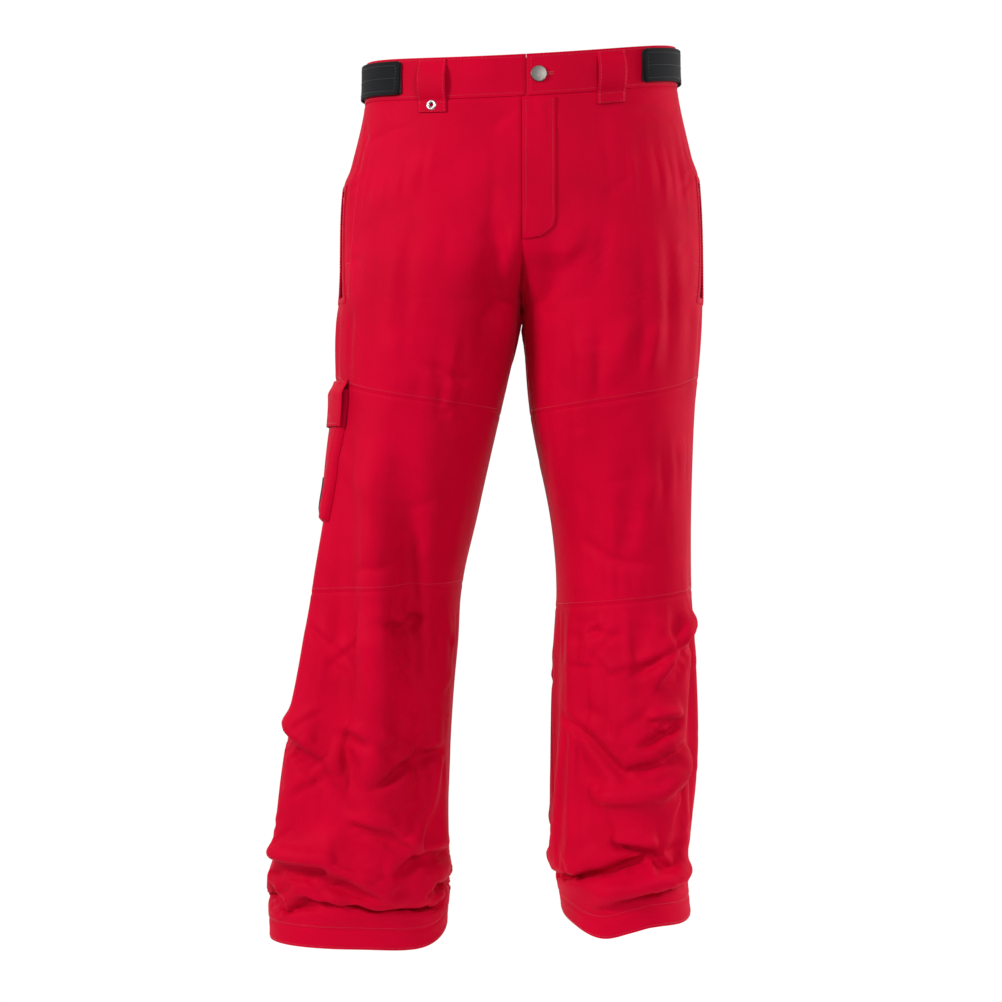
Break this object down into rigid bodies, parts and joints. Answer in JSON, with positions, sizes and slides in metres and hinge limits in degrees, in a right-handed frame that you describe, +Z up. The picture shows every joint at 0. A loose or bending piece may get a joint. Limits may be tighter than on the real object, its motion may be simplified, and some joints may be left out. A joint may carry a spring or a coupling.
{
  "type": "snow trousers",
  "caption": "Waterproof insulated snow trousers with a zipped fly, waist tabs, belt loops, hand pockets, a thigh cargo pocket with flap, jointed knees and gaiters.",
  "frame": {"origin": "centre of the waist opening", "axes": "+Z up the wearer, the front faces -Y, +X is the wearer's left"},
  "size_m": [0.512, 0.2763, 1.0626],
  "materials": {
    "shell": "matte plain weave with a slight sheen",
    "dark_shell": "matte woven",
    "webbing": "matte woven webbing",
    "hook_and_loop": "matte",
    "elastic": "matte ribbed",
    "lining": "satin",
    "zip_teeth": "moulded coil",
    "plated_metal": "satin nickel",
    "gunmetal": "brushed dark pewter",
    "badge": "embroidered, matte"
  },
  "bodies": {
    "pelvis": {"front_panel_left": "shell", "front_panel_right": "shell", "seat_panel_left": "shell", "seat_panel_right": "shell", "waistband_front_left": "shell", "waistband_front_right": "shell", "waistband_back": "shell", "waistband_underlap": "dark_shell", "fly_zip_tape": "dark_shell", "fly_zip_teeth": "zip_teeth", "fly_shield": "dark_shell", "waist_button_post": "plated_metal", "belt_loop_front_left": "shell", "belt_loop_front_right": "shell", "belt_loop_back_left": "shell", "belt_loop_back_right": "shell", "eyelet_ring": "plated_metal", "eyelet_washer": "plated_metal", "waist_loop_patch_left": "hook_and_loop", "waist_loop_patch_right": "hook_and_loop", "hand_pocket_left_zip_tape": "dark_shell", "hand_pocket_left_zip_teeth": "zip_teeth", "hand_pocket_left_bag": "lining", "hand_pocket_left_welt": "shell", "hand_pocket_right_zip_tape": "dark_shell", "hand_pocket_right_zip_teeth": "zip_teeth", "hand_pocket_right_bag": "lining", "hand_pocket_right_welt": "shell"},
    "fly_slider": {"fly_zip_slider": "plated_metal", "fly_zip_pull": "plated_metal"},
    "fly_flap": {"fly_placket": "shell"},
    "waist_button": {"waist_button_head": "gunmetal"},
    "tab_left": {"waist_tab_left": "webbing", "waist_hook_patch_left": "hook_and_loop"},
    "tab_right": {"waist_tab_right": "webbing", "waist_hook_patch_right": "hook_and_loop"},
    "hand_slider_left": {"hand_pocket_left_zip_slider": "plated_metal"},
    "hand_pull_left": {"hand_pocket_left_pull": "plated_metal"},
    "hand_slider_right": {"hand_pocket_right_zip_slider": "plated_metal"},
    "hand_pull_right": {"hand_pocket_right_pull": "plated_metal"},
    "thigh_left": {"knee_front_panel_left": "shell", "knee_back_panel_left": "shell"},
    "shin_left": {"shin_front_panel_left": "shell", "shin_back_panel_left": "shell", "hem_left": "shell", "gaiter_left": "lining", "gaiter_elastic_left": "elastic"},
    "thigh_right": {"knee_front_panel_right": "shell", "knee_back_panel_right": "shell", "cargo_pocket": "shell", "cargo_loop_patch": "hook_and_loop", "cargo_badge": "badge"},
    "cargo_flap": {"cargo_flap": "shell", "cargo_hook_patch": "hook_and_loop"},
    "shin_right": {"shin_front_panel_right": "shell", "shin_back_panel_right": "shell", "hem_right": "shell", "gaiter_right": "lining", "gaiter_elastic_right": "elastic"}
  },
  "joints": [
    {"name": "hip_flex_right", "type": "hinge", "parent": "pelvis", "child": "thigh_right", "pos_m": [-0.112, 0.002, -0.204], "axis": [-1, 0, 0], "range_deg": [-15, 55]},
    {"name": "hip_flex_left", "type": "hinge", "parent": "pelvis", "child": "thigh_left", "pos_m": [0.107, 0.002, -0.204], "axis": [-1, 0, 0], "range_deg": [-15, 55]},
    {"name": "knee_flex_right", "type": "hinge", "parent": "thigh_right", "child": "shin_right", "pos_m": [-0.146, 0.005, -0.544], "axis": [1, 0, 0], "range_deg": [0, 70]},
    {"name": "knee_flex_left", "type": "hinge", "parent": "thigh_left", "child": "shin_left", "pos_m": [0.118, 0.005, -0.544], "axis": [1, 0, 0], "range_deg": [0, 70]},
    {"name": "fly_zip", "type": "slide", "parent": "pelvis", "child": "fly_slider", "axis": [0, -0.0699, -0.9976], "range_m": [0, 0.1247]},
    {"name": "fly_placket", "type": "hinge", "parent": "pelvis", "child": "fly_flap", "pos_m": [0.03814, -0.11404, -0.06306], "axis": [0.001, 0.0829, 0.9966], "range_deg": [0, 70]},
    {"name": "waist_button_turn", "type": "hinge", "parent": "pelvis", "child": "waist_button", "pos_m": [0.01902, -0.11312, -0.03762], "axis": [0.0392, -0.9985, 0.0371], "continuous": true},
    {"name": "hand_zip_right", "type": "slide", "parent": "pelvis", "child": "hand_slider_right", "axis": [-0.0208, -0.1355, -0.9906], "range_m": [0, 0.0968]},
    {"name": "hand_pull_right", "type": "hinge", "parent": "hand_slider_right", "child": "hand_pull_right", "pos_m": [-0.20651, -0.02345, -0.16625], "axis": [-0.2084, 0.9696, -0.1283], "range_deg": [0, 120]},
    {"name": "hand_zip_left", "type": "slide", "parent": "pelvis", "child": "hand_slider_left", "axis": [0.0192, -0.1251, -0.992], "range_m": [0, 0.1068]},
    {"name": "hand_pull_left", "type": "hinge", "parent": "hand_slider_left", "child": "hand_pull_left", "pos_m": [0.2065, -0.02338, -0.15622], "axis": [-0.2101, -0.9705, 0.1183], "range_deg": [0, 120]},
    {"name": "waist_tab_right", "type": "hinge", "parent": "pelvis", "child": "tab_right", "pos_m": [-0.16224, 0.06383, -0.02517], "axis": [0, 0, -1], "range_deg": [0, 75]},
    {"name": "waist_tab_left", "type": "hinge", "parent": "pelvis", "child": "tab_left", "pos_m": [0.16223, 0.06384, -0.00846], "axis": [0, 0, 1], "range_deg": [0, 75]},
    {"name": "cargo_flap", "type": "hinge", "parent": "thigh_right", "child": "cargo_flap", "pos_m": [-0.22122, 0, -0.37637], "axis": [0, 1, 0], "range_deg": [0, 110]}
  ]
}
